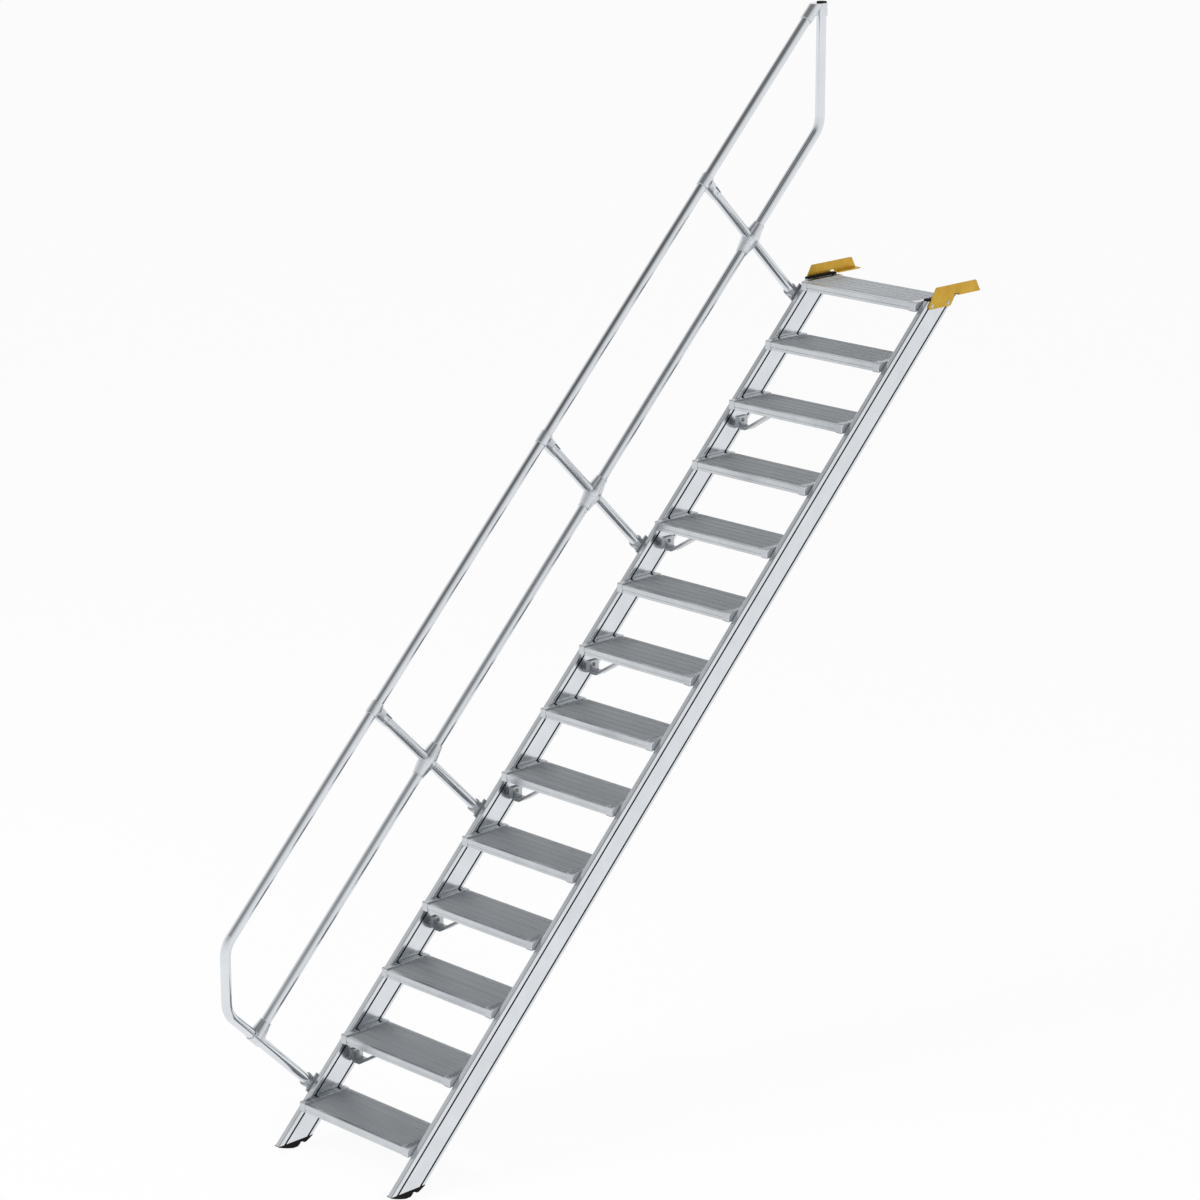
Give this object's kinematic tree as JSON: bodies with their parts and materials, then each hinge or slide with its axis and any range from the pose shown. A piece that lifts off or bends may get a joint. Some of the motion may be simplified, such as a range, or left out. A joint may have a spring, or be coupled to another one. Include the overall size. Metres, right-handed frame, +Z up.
{
  "type": "industrial hook-on stair",
  "caption": "Steep aluminium access stair: grooved treads between box stringers, a tube handrail on one side, steel hooks on top.",
  "frame": {"origin": "middle of the flat underside of the left hook's seat, the face that rests on the platform", "axes": "X across the stair to the right, Y along the going, up the flight and on to the platform, Z up"},
  "size_m": [0.715, 3.3879, 3.9939],
  "materials": {
    "stringer": "mill-finish extrusion, satin",
    "tread": "ribbed extrusion, satin",
    "rubber": "moulded black rubber, matt",
    "hook": "yellow zinc on bent steel plate",
    "bracket": "bent flat bar, satin",
    "rail": "drawn tube, bright satin",
    "fitting": "cast and tumbled, satin"
  },
  "bodies": {
    "root": {"left_stringer": "stringer", "right_stringer": "stringer", "tread_01": "tread", "tread_02": "tread", "tread_03": "tread", "tread_04": "tread", "tread_05": "tread", "tread_06": "tread", "tread_07": "tread", "tread_08": "tread", "tread_09": "tread", "tread_10": "tread", "tread_11": "tread", "tread_12": "tread", "tread_13": "tread", "tread_14": "tread", "left_foot": "rubber", "right_foot": "rubber", "left_end_cap": "rubber", "right_end_cap": "rubber", "upright_plug": "rubber", "left_hook": "hook", "right_hook": "hook", "left_knee_brackets": "bracket", "top_rail": "rail", "knee_rail_1": "rail", "knee_rail_2": "rail", "knee_rail_3": "rail", "knee_rail_upright": "rail", "post_1": "rail", "post_2": "rail", "post_3": "rail", "rail_tee_1": "fitting", "rail_tee_2": "fitting", "rail_tee_3": "fitting", "knee_cross_1": "fitting", "knee_cross_2": "fitting", "knee_cross_3": "fitting", "knee_tee": "fitting", "rail_elbow": "fitting", "post_clamp_1": "fitting", "post_clamp_2": "fitting", "post_clamp_3": "fitting", "post_clamp_4": "fitting"}
  },
  "joints": []
}
